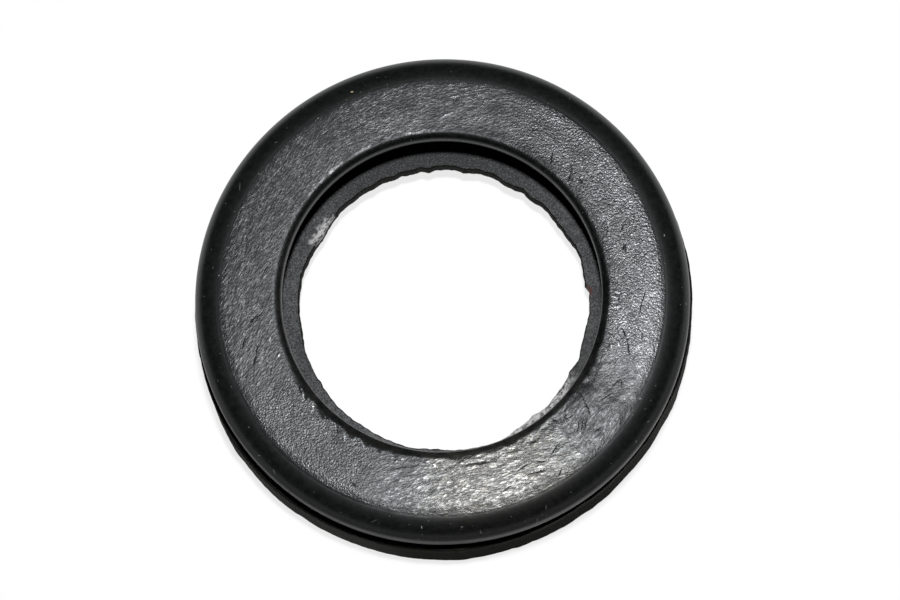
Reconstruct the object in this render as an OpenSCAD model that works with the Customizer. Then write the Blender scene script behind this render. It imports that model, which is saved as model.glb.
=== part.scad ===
// Fuel cap gasket: one moulded rubber ring. The plate under a fuel cap snaps into the inner
// groove, and the broad upper face seals on the mouth of the filler neck.
// The ring lies flat, sealing face up. The origin is the centre of its underside, and +Z runs
// along its axis. All sizes are in millimetres.

/* [Rim and upper lip] */
// Diameter over the rounded rim
rim_d = 62; // [60:0.5:70]
// Radial width of the rounded shoulder, from the sealing face out to the rim
shoulder_w = 4.1; // [3.6:0.1:4.6]
// Radius of the shoulder's flat crown, next to the sealing face
crown_r = 5.5; // [4.5:0.1:6]
// Angle that the crown turns through before the tighter round of the rim begins
crown_turn = 30; // [20:1:35]
// Rounding of the rim's lower edge, above the parting groove
rim_under_r = 1; // [0.4:0.1:1.4]
// Diameter of the bore through the upper lip
upper_bore_d = 40; // [38.5:0.5:43]
// Thickness of the upper lip at its bore
upper_lip_h = 1.8; // [1.5:0.1:3.5]
// Rounding between the sealing face and the upper bore
lip_round_r = 1; // [0.3:0.1:1.3]

/* [Inner groove] */
// Diameter of the groove's floor
groove_d = 49; // [45:0.5:53]
// Height of the groove, between the two lips
groove_h = 5.9; // [5:0.1:8]
// Fillet in the groove's two inner corners
groove_fillet_r = 0.8; // [0.2:0.1:1.5]

/* [Lower lip] */
// Thickness of the lower lip
lower_lip_h = 2.1; // [1.5:0.1:3.5]
// Nominal diameter of the torn edge of the lower lip
torn_bore_d = 36.5; // [34:0.1:37]
// Width of the flat under the lower lip, from the torn edge to the bevel
lip_flat_w = 1.2; // [0.8:0.1:2]
// Depth of the recess under the lower lip
recess_h = 3.6; // [2.8:0.1:4.5]
// Radial width of the bevel that leads into the recess
bevel_w = 3; // [1:0.1:4]

/* [Outer flange] */
// Nominal diameter over the flange, before it is trimmed
flange_d = 62.8; // [61:0.2:71]
// Height of the flange's side wall
flange_h = 6.5; // [5:0.1:7.5]
// Height of the parting groove, between the flange and the rim
parting_h = 1.3; // [0.8:0.1:2]
// Depth of the parting groove, measured in from the rim
parting_depth = 1.2; // [0.6:0.1:2.5]

/* [Torn and trimmed edges] */
// Height of the small teeth that the torn bore has between its corners
torn_tooth = 0.07; // [0:0.01:0.15]
// Height of the small teeth on the trimmed flange
trim_tooth = 0.03; // [0:0.01:0.1]

/* [Hidden] */

// Levels, from the underside up
lower_lip_z = recess_h + lower_lip_h;
upper_lip_z = lower_lip_z + groove_h;
total_h = upper_lip_z + upper_lip_h;
parting_z = flange_h + parting_h;

// Radii. The rim's round ends at its widest line, where it is upright.
rim_r = rim_d / 2;
crown_x = rim_r - shoulder_w;
edge_r = (shoulder_w - crown_r * sin(crown_turn)) / (1 - sin(crown_turn));
edge_z = total_h - crown_r * (1 - cos(crown_turn)) - edge_r * cos(crown_turn);
core_r = rim_r - parting_depth;
upper_bore_r = upper_bore_d / 2;
groove_r = groove_d / 2;
torn_bore_r = torn_bore_d / 2;
lip_flat_r = torn_bore_r + lip_flat_w;
bevel_r = lip_flat_r + bevel_w;

// Corners of the torn bore: [angle in degrees, how far the rubber is torn back in mm].
// Negative is a tongue left standing.
BORE_CORNERS = [
    [0, -0.25], [4, -0.1], [12, 0.2], [20, -0.1], [28, -0.28], [38, 0], [43, -0.4], [47, -0.05],
    [51, -0.32], [56, -0.33], [60, 0], [68, 0.08], [73, -0.22], [77, 0.06], [84, 0.07],
    [87, -0.14], [90, 0.08], [93, -0.1], [98, 0.08], [101, -0.04], [106, 0.1], [110, -0.04],
    [115, 0.14], [121, 0.05], [126, 0.13], [134, -0.05], [140, -0.35], [143, -0.1],
    [150, 0.08], [158, 0.2], [166, 0.15], [172, -0.02], [181, -0.1], [190, 0.04], [199, 0.02],
    [203, -0.1], [210, 0.12], [224, 0.12], [230, 0.06], [238, 0.14], [244, 0.27], [250, 0.22],
    [254, 0.06], [261, 0.12], [267, 0.26], [275, 0.38], [285, 0.44], [292, 0.5], [295, 0],
    [299, -0.12], [303, 0.02], [307, 0.1], [311, -0.14], [318, -0.08], [323, -0.25],
    [328, 0.04], [335, -0.18], [344, -0.12], [349, 0.2], [354, 0.12], [357, 0.3], [360, -0.25],
];

// Corners of the trimmed flange: [angle in degrees, how far the cut stands proud in mm]
FLANGE_CORNERS = [
    [0, 0.02], [24, -0.04], [50, 0.05], [78, -0.03], [104, 0.03], [131, -0.05], [158, 0.04],
    [186, 0.1], [194, 0.22], [204, 0.24], [207, 0.03], [228, 0.08], [240, 0], [266, 0.04],
    [271, -0.1], [283, -0.28], [290, -0.29], [295, -0.43], [300, -0.33], [310, -0.48],
    [317, -0.34], [323, -0.4], [328, -0.2], [336, -0.24], [350, -0.08], [360, 0.02],
];

// Number of points round each cut outline, and of steps in a quarter round
BORE_STEPS = 240;
FLANGE_STEPS = 180;
ROUND_STEPS = 10;
// How far a cutting shape runs past the face that it opens
CUT = 1;

// Points along an arc about c, from one angle to another
function arc(c, r, from, to) =
    [for (i = [0:ROUND_STEPS]) let (a = from + (to - from) * i / ROUND_STEPS) c + r * [cos(a), sin(a)]];

// Fine unevenness of a cut edge, between -1 and 1
function tooth(a) = 0.6 * sin(61 * a) * sin(17 * a + 40) + 0.4 * sin(23 * a + 110);

// Closed outline of a cut edge: the nominal radius, the corners and the teeth between them
function cut_outline(r, corners, tooth_h, steps) =
    [for (i = [0:steps - 1])
        let (a = 360 * i / steps, edge = r + lookup(a, corners) + tooth_h * tooth(a))
            edge * [cos(a), sin(a)]];

// Outer form above the flange: core, rounded lower edge of the rim, its round and the crown
module rim_blank() {
    rotate_extrude($fn = 180)
        polygon(concat(
            [[0, 0], [core_r, 0], [core_r, parting_z]],
            arc([rim_r - rim_under_r, parting_z + rim_under_r], rim_under_r, -90, 0),
            arc([rim_r - edge_r, edge_z], edge_r, 0, 90 - crown_turn),
            arc([crown_x, total_h - crown_r], crown_r, 90 - crown_turn, 90),
            [[0, total_h]]
        ));
}

// Flange below the parting groove, its side wall trimmed by hand
module trimmed_flange() {
    linear_extrude(height = flange_h)
        polygon(cut_outline(flange_d / 2, FLANGE_CORNERS, trim_tooth, FLANGE_STEPS));
}

// Space of the upper bore and of the undercut groove below it
module bore_and_groove() {
    fillet_r = groove_r - groove_fillet_r;
    rotate_extrude($fn = 180)
        polygon(concat(
            [[0, lower_lip_z]],
            arc([fillet_r, lower_lip_z + groove_fillet_r], groove_fillet_r, -90, 0),
            arc([fillet_r, upper_lip_z - groove_fillet_r], groove_fillet_r, 0, 90),
            [[upper_bore_r, upper_lip_z]],
            arc([upper_bore_r + lip_round_r, total_h - lip_round_r], lip_round_r, 180, 90),
            [[upper_bore_r + lip_round_r, total_h + CUT], [0, total_h + CUT]]
        ));
}

// Torn opening through the lower lip
module torn_bore() {
    translate([0, 0, recess_h - CUT])
        linear_extrude(height = lower_lip_h + 2 * CUT)
            polygon(cut_outline(torn_bore_r, BORE_CORNERS, torn_tooth, BORE_STEPS));
}

// Recess under the lower lip, with the bevel that the cap's plate slides in over
module underside_recess() {
    rotate_extrude($fn = 180)
        polygon([[0, -CUT], [bevel_r, -CUT], [bevel_r, 0], [lip_flat_r, recess_h], [0, recess_h]]);
}

module gasket() {
    color([0.11, 0.115, 0.12])
        difference() {
            union() {
                rim_blank();
                trimmed_flange();
            }
            bore_and_groove();
            torn_bore();
            underside_recess();
        }
}

gasket();
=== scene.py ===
"""Fuel cap gasket: the looks of one moulded rubber ring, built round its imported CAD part.

The ring is modelled as one closed mesh: its section is drawn, spun round the axis and then
sculpted, so that the leathery sealing face, the torn bore and the hand-trimmed flange are real
shapes. Lengths in the classes are millimetres, and they are turned into metres where a mesh,
a lamp or the camera is made.
"""

import functools
import itertools
import logging
import math
from dataclasses import dataclass, field
from enum import Enum

import bpy
import numpy as np
from mathutils import Matrix, Vector


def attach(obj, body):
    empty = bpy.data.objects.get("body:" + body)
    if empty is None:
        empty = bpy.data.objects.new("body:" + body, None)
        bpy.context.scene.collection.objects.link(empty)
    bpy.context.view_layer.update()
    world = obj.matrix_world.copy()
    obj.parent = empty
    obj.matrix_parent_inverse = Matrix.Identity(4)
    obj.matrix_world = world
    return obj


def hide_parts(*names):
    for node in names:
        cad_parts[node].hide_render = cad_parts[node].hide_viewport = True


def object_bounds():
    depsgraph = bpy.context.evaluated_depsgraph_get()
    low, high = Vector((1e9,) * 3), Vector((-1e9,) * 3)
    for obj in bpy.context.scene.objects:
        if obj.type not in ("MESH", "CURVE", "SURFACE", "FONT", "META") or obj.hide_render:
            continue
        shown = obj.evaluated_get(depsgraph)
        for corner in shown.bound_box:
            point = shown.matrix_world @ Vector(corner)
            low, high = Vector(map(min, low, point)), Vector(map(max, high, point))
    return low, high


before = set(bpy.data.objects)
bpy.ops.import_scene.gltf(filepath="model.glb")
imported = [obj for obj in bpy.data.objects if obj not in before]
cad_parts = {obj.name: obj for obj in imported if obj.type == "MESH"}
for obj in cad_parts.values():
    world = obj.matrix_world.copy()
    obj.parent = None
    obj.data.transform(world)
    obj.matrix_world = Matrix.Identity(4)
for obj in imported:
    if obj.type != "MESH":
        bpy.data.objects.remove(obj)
CAD_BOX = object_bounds()

Socket = bpy.types.NodeSocket
Point = tuple[float, float]
Pair = tuple[float, float]
Triple = tuple[float, float, float]
Colour = tuple[float, float, float, float]

MM = 0.001
BODY = "root"
NODE = "gasket"
log = logging.getLogger("gasket")


# ---------------------------------------------------------------------------------------------
# Small tools
# ---------------------------------------------------------------------------------------------


def smoothstep(low: float, high: float, x: np.ndarray) -> np.ndarray:
    """Eases from 0 at low to 1 at high, which may lie below low for a falling step."""
    t = np.clip((x - low) / (high - low), 0.0, 1.0)
    return t * t * (3.0 - 2.0 * t)


# Odd numbers that scatter a lattice point's place and its seed into a 32-bit chance value.
AXIS_FACTORS = np.array((374761393, 668265263, 1440662683))
SEED_FACTOR = 974634777
MIX_FACTOR = 1274126177
WORD = 0xFFFFFFFF
HALF_WORD = 0x7FFFFFFF


def lattice_noise(points: np.ndarray, seed: int) -> np.ndarray:
    """Smooth noise on a unit lattice, the same on every run.

    Args:
        points: an N by 3 array of places, one lattice cell to the unit.
        seed: which noise is wanted.

    Returns:
        N values between -1 and 1.
    """
    cell = np.floor(points).astype(np.int64)
    ease = points - cell
    ease = ease * ease * (3.0 - 2.0 * ease)
    total = np.zeros(len(points))
    for corner in itertools.product((0, 1), repeat=3):
        chance = (cell + np.array(corner)) @ AXIS_FACTORS + seed * SEED_FACTOR
        chance = (chance ^ (chance >> 13)) & WORD
        chance = (chance * MIX_FACTOR) & WORD
        chance = chance ^ (chance >> 16)
        weight = np.prod(np.where(corner, ease, 1.0 - ease), axis=1)
        total += weight * (chance / HALF_WORD - 1.0)
    return total


def layered_noise(points: np.ndarray, size: float, octaves: int, seed: int) -> np.ndarray:
    """Noise summed over halving sizes.

    Args:
        points: an N by 3 array of places in millimetres.
        size: width in millimetres of the largest cell.
        octaves: number of layers.
        seed: which noise is wanted.

    Returns:
        N values, roughly between -1 and 1.
    """
    total = np.zeros(len(points))
    for layer in range(octaves):
        total += lattice_noise(points * (2.0**layer / size), seed + layer) / 2.0**layer
    return total / (2.0 - 2.0 ** (1 - octaves))


def turned(x: np.ndarray, y: np.ndarray, heading_deg: float) -> tuple[np.ndarray, np.ndarray]:
    """How far places, given across and away, lie along a heading in degrees, and across it."""
    turn = math.radians(heading_deg)
    return x * math.cos(turn) + y * math.sin(turn), y * math.cos(turn) - x * math.sin(turn)


def polar(angle_deg: float, radius: float) -> Point:
    """The place across and away of a point given by its angle and radius."""
    a = math.radians(angle_deg)
    return radius * math.cos(a), radius * math.sin(a)


@dataclass(frozen=True)
class Sector:
    """A stretch of the ring that eases in from start to full, and out from fade to end, in degrees."""

    start: float
    full: float
    fade: float
    end: float

    def weight(self, angle: np.ndarray) -> np.ndarray:
        """From 0 outside the sector to 1 in its full part, at each angle."""
        return smoothstep(self.start, self.full, angle) * smoothstep(self.end, self.fade, angle)


def deselect_all() -> None:
    """Leaves nothing selected, in object mode."""
    if bpy.context.object and bpy.context.object.mode != "OBJECT":
        bpy.ops.object.mode_set(mode="OBJECT")
    bpy.ops.object.select_all(action="DESELECT")


# ---------------------------------------------------------------------------------------------
# Finishes
# ---------------------------------------------------------------------------------------------


class Shader:
    """A material's node tree, with short calls for the nodes that the finishes share."""

    def __init__(self, name: str) -> None:
        """Makes an empty material.

        Args:
            name: the material's name.
        """
        self.material = bpy.data.materials.new(name)
        self.material.use_nodes = True
        self.tree = self.material.node_tree
        self.tree.nodes.clear()
        self.output = self.tree.nodes.new("ShaderNodeOutputMaterial")
        self.coords = self.tree.nodes.new("ShaderNodeTexCoord").outputs["Object"]

    def node(self, kind: str, **settings: object) -> bpy.types.Node:
        """Adds a node.

        Args:
            kind: its Blender type.
            settings: properties to set on it.

        Returns:
            The new node.
        """
        made = self.tree.nodes.new(kind)
        for key, value in settings.items():
            setattr(made, key, value)
        return made

    def feed(self, socket: Socket, value: object) -> None:
        """Links an output into a socket, or sets the socket to a plain value.

        Args:
            socket: the socket to feed.
            value: an output's socket, or a plain value.
        """
        if isinstance(value, Socket):
            self.tree.links.new(value, socket)
        else:
            socket.default_value = value

    def math(self, operation: str, a: object, b: object = 0.0, c: object = 0.0) -> Socket:
        """A Math node on up to three values.

        Args:
            operation: the Math node's operation.
            a: first value or output.
            b: second value or output.
            c: third value or output.

        Returns:
            The result's socket.
        """
        made = self.node("ShaderNodeMath", operation=operation)
        for socket, value in zip(made.inputs, (a, b, c)):
            self.feed(socket, value)
        return made.outputs[0]

    def ramp(
        self, value: object, low: float, high: float, out_low: float = 0.0, out_high: float = 1.0
    ) -> Socket:
        """Maps a value smoothly from one range to another.

        Args:
            value: the output to map.
            low: start of the range mapped from.
            high: end of that range.
            out_low: result at low.
            out_high: result at high.

        Returns:
            The result's socket.
        """
        made = self.node("ShaderNodeMapRange", interpolation_type="SMOOTHSTEP", clamp=True)
        for key, number in zip(("Value", "From Min", "From Max", "To Min", "To Max"),
                               (value, low, high, out_low, out_high)):
            self.feed(made.inputs[key], number)
        return made.outputs["Result"]

    def mix(self, factor: object, a: object, b: object) -> Socket:
        """Mixes two numbers.

        Args:
            factor: how much of the second, from 0 to 1.
            a: first number or output.
            b: second number or output.

        Returns:
            The result's socket.
        """
        made = self.node("ShaderNodeMix", data_type="FLOAT")
        for index, value in zip((0, 2, 3), (factor, a, b)):
            self.feed(made.inputs[index], value)
        return made.outputs[0]

    def mix_colour(self, factor: object, a: object, b: object) -> Socket:
        """Mixes two colours.

        Args:
            factor: how much of the second, from 0 to 1.
            a: first colour or output.
            b: second colour or output.

        Returns:
            The result's socket.
        """
        made = self.node("ShaderNodeMix", data_type="RGBA")
        for index, value in zip((0, 6, 7), (factor, a, b)):
            self.feed(made.inputs[index], value)
        return made.outputs[2]

    def mask(self, name: str) -> Socket:
        """The named number that the mesh carries at each point."""
        return self.node("ShaderNodeAttribute", attribute_name=name).outputs["Fac"]

    def vector_mask(self, name: str) -> Socket:
        """The named vector that the mesh carries at each point."""
        return self.node("ShaderNodeAttribute", attribute_name=name).outputs["Vector"]

    def vector_math(self, operation: str, *values: object) -> bpy.types.Node:
        """A Vector Math node on one or more vectors.

        Args:
            operation: the node's operation.
            values: the vectors or outputs that it works on.

        Returns:
            The new node.
        """
        made = self.node("ShaderNodeVectorMath", operation=operation)
        for socket, value in zip(made.inputs, values):
            self.feed(socket, value)
        return made

    def length(self, vector: Socket) -> Socket:
        """The length of a vector."""
        return self.vector_math("LENGTH", vector).outputs["Value"]

    def placed(self, heading_deg: float, stretch: Triple) -> Socket:
        """Object coordinates with the first axis along a heading, and then stretched.

        Args:
            heading_deg: the heading in degrees.
            stretch: factor on each turned axis; a factor below 1 makes a pattern longer.

        Returns:
            The socket of the mapped coordinates.
        """
        aimed = self.node("ShaderNodeMapping")
        self.feed(aimed.inputs["Vector"], self.coords)
        aimed.inputs["Rotation"].default_value = (0.0, 0.0, -math.radians(heading_deg))
        scaled = self.node("ShaderNodeMapping")
        self.feed(scaled.inputs["Vector"], aimed.outputs[0])
        scaled.inputs["Scale"].default_value = stretch
        return scaled.outputs[0]

    def noise(self, size: float, detail: float, rough: float, vector: Socket | None = None) -> Socket:
        """Noise of a size in millimetres.

        Args:
            size: width of its blobs.
            detail: number of finer layers.
            rough: weight of the finer layers.
            vector: mapped coordinates, or None for Object coordinates.

        Returns:
            The socket of its value, between 0 and 1.
        """
        made = self.node("ShaderNodeTexNoise")
        self.feed(made.inputs["Vector"], vector or self.coords)
        made.inputs["Scale"].default_value = 1.0 / (size * MM)
        made.inputs["Detail"].default_value = detail
        made.inputs["Roughness"].default_value = rough
        return made.outputs["Fac"]

    def noise_vector(self, size: float) -> Socket:
        """Noise with its own value for each axis.

        Args:
            size: width of its blobs in millimetres.

        Returns:
            The socket of its three values, between 0 and 1.
        """
        made = self.node("ShaderNodeTexNoise")
        self.feed(made.inputs["Vector"], self.coords)
        made.inputs["Scale"].default_value = 1.0 / (size * MM)
        return made.outputs["Color"]

    def cells(self, size: float, vector: Socket | None = None) -> tuple[Socket, Socket]:
        """Voronoi cells of a size in millimetres.

        Args:
            size: width of a cell.
            vector: mapped coordinates, or None for Object coordinates.

        Returns:
            The sockets of the distance from a cell's middle and of the cell's own chance value.
        """
        made = self.node("ShaderNodeTexVoronoi")
        self.feed(made.inputs["Vector"], vector or self.coords)
        made.inputs["Scale"].default_value = 1.0 / (size * MM)
        chance = self.node("ShaderNodeSeparateColor")
        self.feed(chance.inputs[0], made.outputs["Color"])
        return made.outputs["Distance"], chance.outputs[0]

    def slits(self, waver: float, size: float) -> Socket:
        """The creases that the mesh carries, drawn finer than its faces are.

        Args:
            waver: how far each line strays, in its own widths.
            size: width in millimetres of the noise that it strays by.

        Returns:
            The socket of their depth in millimetres.
        """
        across, back = (0.0, 2.0 * waver, 0.0), (0.0, -waver, 0.0)
        stray = self.vector_math("MULTIPLY_ADD", self.noise_vector(size), across, back).outputs[0]
        moved = self.vector_math("ADD", self.vector_mask("crease"), stray).outputs[0]
        return self.product(self.ramp(self.length(moved), 1.0, 0.0), self.mask("crease_depth"))

    def flecks(self, spacing: float, size: float, share: float) -> Socket:
        """Sparse round flecks.

        Args:
            spacing: width in millimetres of the cells that hold one fleck each.
            size: width in millimetres of a fleck.
            share: share of the cells that do hold one.

        Returns:
            The socket of a mask, 1 on a fleck.
        """
        distance, chance = self.cells(spacing)
        dot = self.ramp(distance, 0.6 * size / spacing, 0.4 * size / spacing)
        return self.product(dot, self.math("LESS_THAN", chance, share))

    def total(self, *values: object) -> Socket:
        """The sum of several numbers or sockets."""
        return functools.reduce(functools.partial(self.math, "ADD"), values)

    def product(self, *values: object) -> Socket:
        """The product of several numbers or sockets."""
        return functools.reduce(functools.partial(self.math, "MULTIPLY"), values)

    def bump(self, height: object) -> Socket:
        """Bends the normal by a relief.

        Args:
            height: the relief's height in millimetres.

        Returns:
            The socket of the bent normal.
        """
        made = self.node("ShaderNodeBump")
        self.feed(made.inputs["Height"], height)
        made.inputs["Distance"].default_value = MM
        return made.outputs["Normal"]

    def principled(self, plain_specular: float = 0.5, **sockets: object) -> None:
        """Ends the material in a Principled shader.

        Args:
            plain_specular: the specular level that stays on the socket where a link is dropped.
            sockets: the sockets to set or link, by name.
        """
        made = self.node("ShaderNodeBsdfPrincipled")
        made.inputs["Specular IOR Level"].default_value = plain_specular
        for key, value in sockets.items():
            self.feed(made.inputs[key.replace("_", " ")], value)
        self.feed(self.output.inputs["Surface"], made.outputs[0])


@dataclass(frozen=True)
class Mark:
    """A short straight mark on the ring, from one (angle in degrees, radius) to another."""

    start: Point
    end: Point
    width: float = 0.09

    def middle(self) -> Point:
        """Its middle, across and away in millimetres."""
        (x0, y0), (x1, y1) = polar(*self.start), polar(*self.end)
        return (x0 + x1) / 2, (y0 + y1) / 2

    def heading(self) -> float:
        """The angle in degrees that it runs at."""
        (x0, y0), (x1, y1) = polar(*self.start), polar(*self.end)
        return math.degrees(math.atan2(y1 - y0, x1 - x0))

    def length(self) -> float:
        """Its length in millimetres."""
        return math.dist(polar(*self.start), polar(*self.end))

    def run(self, x: np.ndarray, y: np.ndarray) -> tuple[np.ndarray, np.ndarray]:
        """How far each place lies along this mark from its middle, and across it, in millimetres."""
        cx, cy = self.middle()
        return turned(x - cx, y - cy, self.heading())


@dataclass(frozen=True)
class Crease(Mark):
    """One fold or scratch in the sealing face: a groove, or a ridge where its depth is negative."""

    depth: float = 0.03


@dataclass(frozen=True)
class Speck(Mark):
    """A speck of dust: how light it is, from 0 to 1, and how yellow."""

    light: float = 0.5
    warm: float = 0.0


# Dust on the sealing face and the shoulder: the angle and radius of both ends, width, light and warm.
SPECKS = tuple(
    Speck((angle_0, r_0), (angle_1, r_1), *rest)
    for angle_0, r_0, angle_1, r_1, *rest in (
        (5.2, 28.75, 5.5, 28.8, 0.16, 0.5), (321.8, 28.15, 322.1, 28.2, 0.16, 0.6),
        (33.0, 23.85, 33.2, 23.9, 0.16, 0.8), (29.6, 26.8, 29.9, 26.8, 0.14, 0.6),
        (8.8, 23.5, 9.2, 23.5, 0.16, 0.8), (13.6, 22.6, 13.9, 22.7, 0.18, 0.8),
        (108.2, 27.15, 108.5, 27.2, 0.14, 0.6), (115.0, 27.5, 115.3, 27.5, 0.12, 0.5),
        (165.6, 27.9, 165.8, 27.9, 0.14, 0.5), (136.6, 27.7, 136.8, 27.7, 0.12, 0.5),
        (204.9, 25.6, 205.4, 25.6, 0.18, 0.8), (212.2, 23.05, 212.6, 23.1, 0.16, 0.8),
        (196.1, 23.3, 196.4, 23.3, 0.16, 0.7), (192.3, 23.2, 192.7, 23.2, 0.14, 0.7),
        (104.0, 28.45, 104.3, 28.5, 0.22, 0.9, 0.8), (142.8, 28.7, 140.9, 29.2, 0.10, 0.2),
        (217.4, 30.35, 218.1, 30.5, 0.14, 0.23), (212.4, 30.4, 212.8, 30.3, 0.12, 0.23),
        (205.8, 29.2, 206.1, 29.2, 0.14, 0.2), (191.8, 29.8, 192.2, 29.9, 0.12, 0.2),
        (127.2, 28.6, 127.7, 28.7, 0.12, 0.2), (96.8, 29.2, 97.0, 29.2, 0.12, 0.2),
        (256.1, 29.5, 256.2, 29.7, 0.16, 0.45), (265.6, 29.6, 265.9, 29.6, 0.18, 0.23),
        (269.9, 30.4, 270.1, 30.5, 0.16, 0.2), (283.1, 31.0, 283.6, 30.7, 0.12, 0.16),
        (286.1, 30.2, 286.6, 29.8, 0.12, 0.16), (243.9, 30.1, 245.3, 29.6, 0.08, 0.16),
        (348.1, 30.5, 348.6, 30.5, 0.14, 0.23), (318.2, 30.3, 318.6, 30.4, 0.14, 0.23),
        (312.8, 30.6, 313.1, 30.5, 0.14, 0.23),
    )
)

# Creases in the sealing face: the angle and radius of both ends, width and depth.
CREASES = tuple(
    Crease((angle_0, r_0), (angle_1, r_1), *rest)
    for angle_0, r_0, angle_1, r_1, *rest in (
        (81.8, 22.6, 76.8, 23.45, 0.18, -0.011), (78.6, 25.25, 76.3, 25.0, 0.10, 0.012),
        (74.2, 24.15, 71.4, 24.3, 0.07, 0.008), (69.9, 22.2, 67.9, 23.3, 0.16, -0.007),
        (97.2, 23.1, 94.3, 24.0, 0.12, -0.004), (117.4, 25.45, 114.2, 25.4, 0.14, 0.008),
        (164.2, 22.5, 160.3, 21.9, 0.12, 0.012), (180.4, 24.6, 177.0, 23.2, 0.11, 0.012),
        (179.4, 23.6, 175.4, 22.1, 0.11, 0.012), (180.6, 26.1, 177.4, 25.2, 0.10, 0.008),
        (187.2, 25.9, 182.3, 24.85, 0.12, 0.016), (192.6, 25.3, 189.0, 24.25, 0.12, 0.014),
        (189.6, 24.4, 185.8, 23.6, 0.09, 0.012), (196.8, 23.6, 194.2, 23.0, 0.11, 0.012),
        (202.3, 24.3, 199.4, 23.6, 0.08, 0.008), (206.6, 21.6, 203.6, 21.0, 0.14, 0.03),
        (209.8, 21.6, 207.8, 21.0, 0.14, 0.03), (213.8, 21.8, 211.8, 21.2, 0.18, -0.014),
        (225.2, 21.8, 222.2, 20.9, 0.14, 0.032), (228.8, 22.4, 225.8, 21.2, 0.20, -0.014),
        (235.2, 22.0, 232.8, 21.0, 0.20, -0.014), (237.8, 26.8, 235.6, 26.2, 0.12, 0.012),
        (43.6, 23.1, 40.6, 21.2, 0.12, 0.02), (34.3, 22.6, 32.6, 21.2, 0.14, 0.026),
        (32.6, 22.72, 27.6, 22.62, 0.07, 0.012), (32.0, 22.5, 28.0, 22.38, 0.07, 0.012),
        (36.8, 23.4, 34.9, 22.5, 0.16, 0.012), (20.4, 23.1, 17.8, 24.35, 0.10, 0.014),
        (18.2, 24.2, 14.0, 25.1, 0.10, 0.014), (14.2, 26.3, 10.4, 25.5, 0.09, 0.012),
        (12.1, 24.9, 9.8, 23.5, 0.12, 0.012), (15.8, 22.9, 12.8, 21.4, 0.10, 0.014),
        (13.8, 22.6, 9.2, 21.75, 0.08, 0.012), (6.8, 23.95, 3.0, 23.0, 0.10, 0.014),
        (6.6, 23.9, 2.0, 23.45, 0.08, 0.012), (19.2, 25.5, 15.2, 25.75, 0.08, 0.01),
        (298.7, 24.0, 293.2, 24.9, 0.10, 0.016), (292.0, 25.8, 287.2, 24.9, 0.20, -0.014),
        (291.6, 26.1, 283.8, 25.35, 0.09, 0.016), (292.6, 25.2, 288.8, 24.35, 0.09, 0.016),
        (287.8, 24.15, 282.2, 24.7, 0.10, 0.014), (294.8, 26.8, 292.4, 27.6, 0.10, 0.014),
        (281.2, 25.9, 277.0, 26.4, 0.10, 0.012), (263.2, 25.3, 260.4, 26.1, 0.20, -0.014),
        (351.6, 25.6, 347.6, 25.0, 0.10, 0.016), (348.2, 25.05, 343.6, 24.8, 0.08, 0.014),
        (340.2, 25.5, 336.2, 25.75, 0.08, 0.012), (339.7, 22.8, 336.2, 23.9, 0.10, 0.016),
        (336.6, 23.8, 330.8, 24.95, 0.09, 0.014), (333.7, 21.6, 332.3, 22.6, 0.12, 0.012),
        (325.2, 25.0, 320.6, 24.3, 0.09, 0.014), (324.6, 24.9, 322.0, 25.6, 0.08, 0.012),
        (320.2, 25.0, 314.8, 23.9, 0.09, 0.016), (305.4, 25.2, 310.6, 23.8, 0.08, 0.014),
        (304.6, 25.0, 309.4, 23.55, 0.08, 0.014), (303.8, 24.7, 308.0, 23.4, 0.08, 0.014),
        (311.2, 24.0, 312.8, 22.4, 0.10, 0.014), (313.2, 22.3, 314.4, 21.1, 0.12, 0.012),
        (310.8, 26.35, 307.0, 26.0, 0.10, 0.016), (208.8, 21.75, 206.6, 21.15, 0.18, -0.014),
        (204.9, 21.35, 203.2, 20.95, 0.16, -0.014), (219.0, 21.5, 217.2, 21.1, 0.20, -0.014),
        (223.9, 21.6, 221.9, 20.85, 0.18, -0.014), (187.5, 22.3, 184.3, 21.9, 0.20, -0.014),
        (192.6, 21.8, 191.0, 21.5, 0.18, -0.014), (308.2, 22.7, 301.8, 22.2, 0.08, 0.01),
        (302.2, 22.0, 301.2, 21.1, 0.12, 0.014), (350.6, 22.3, 346.2, 22.0, 0.10, 0.014),
        (257.6, 21.7, 255.2, 21.35, 0.20, -0.014), (259.2, 22.2, 258.2, 21.4, 0.18, -0.014),
        (248.6, 21.6, 247.4, 21.4, 0.20, -0.014), (245.6, 22.3, 247.0, 21.7, 0.18, -0.014),
        (351.4, 21.2, 350.3, 22.2, 0.20, -0.026), (349.2, 21.1, 348.7, 22.4, 0.20, -0.026),
        (347.3, 21.2, 347.5, 22.2, 0.20, -0.024), (345.4, 21.4, 346.3, 22.5, 0.18, -0.022),
        (333.8, 22.0, 331.7, 22.4, 0.20, -0.020), (332.0, 21.6, 330.4, 21.9, 0.18, -0.020),
        (334.8, 22.8, 333.1, 23.3, 0.18, -0.018), (336.2, 21.8, 334.9, 22.2, 0.18, -0.018),
        (262.2, 21.9, 259.9, 21.5, 0.16, -0.006), (268.6, 21.9, 266.6, 21.6, 0.16, -0.005),
        (271.8, 22.3, 270.2, 22.5, 0.14, -0.005), (277.4, 21.9, 275.2, 22.2, 0.18, -0.006),
        (285.8, 21.6, 283.6, 22.0, 0.18, -0.006), (291.0, 21.9, 288.6, 22.3, 0.18, -0.006),
    )
)

# The streaks of the sealing face run at these headings in degrees, and each place lies between two.
STREAK_HEADINGS = (0.0, 26.0, 52.0, 95.0)

# How the streaks turn round the ring: (angle in degrees, heading in degrees).
STREAK_TURNS = (
    (0, 60), (20, 40), (58, 4), (70, 0), (82, 17), (95, 20), (110, 36), (125, 50), (165, 52),
    (180, 60), (190, 68), (210, 85), (226, 95), (233, 70), (240, 10), (250, 0), (262, 4), (285, 8),
    (300, 20), (306, 66), (313, 60), (319, 26), (326, 38), (334, 95), (345, 75), (360, 60),
)

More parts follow.
